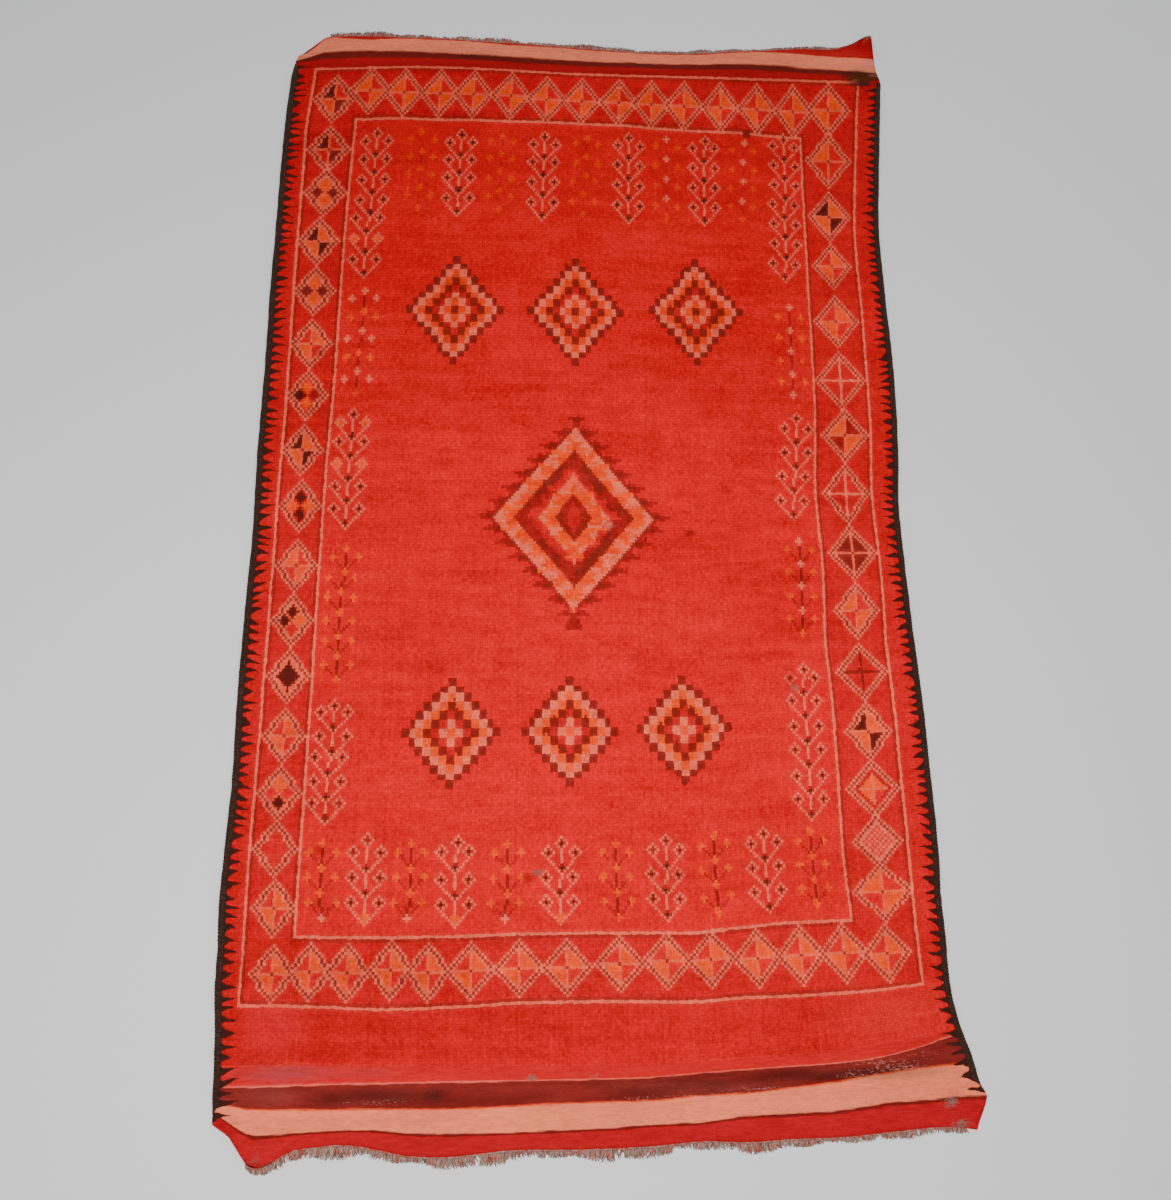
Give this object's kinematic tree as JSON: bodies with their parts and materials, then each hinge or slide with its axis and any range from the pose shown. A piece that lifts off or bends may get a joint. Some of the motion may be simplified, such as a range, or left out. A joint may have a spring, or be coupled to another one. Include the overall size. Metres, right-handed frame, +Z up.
{
  "type": "berber rug",
  "caption": "Worn hand-knotted wool rug lying flat, with flatwoven ends, dark goat-hair side bindings and short frayed warp ends.",
  "frame": {"origin": "on the floor under the middle of the rug's outline", "axes": "+X across the rug to the right seen from its near end, +Y along its length to the far end, +Z up"},
  "size_m": [1.6504, 2.884, 0.0282],
  "materials": {
    "wool_pile": "worn matt wool, red with orange, pale and dark knots",
    "goat_hair": "coarse matt dark brown hair yarn",
    "warp_ends": "frayed greyish wool yarn"
  },
  "bodies": {
    "root": {"rug_cloth": "wool_pile", "binding_left": "goat_hair", "binding_right": "goat_hair", "fringe_near": "warp_ends", "fringe_far": "warp_ends"}
  },
  "joints": []
}
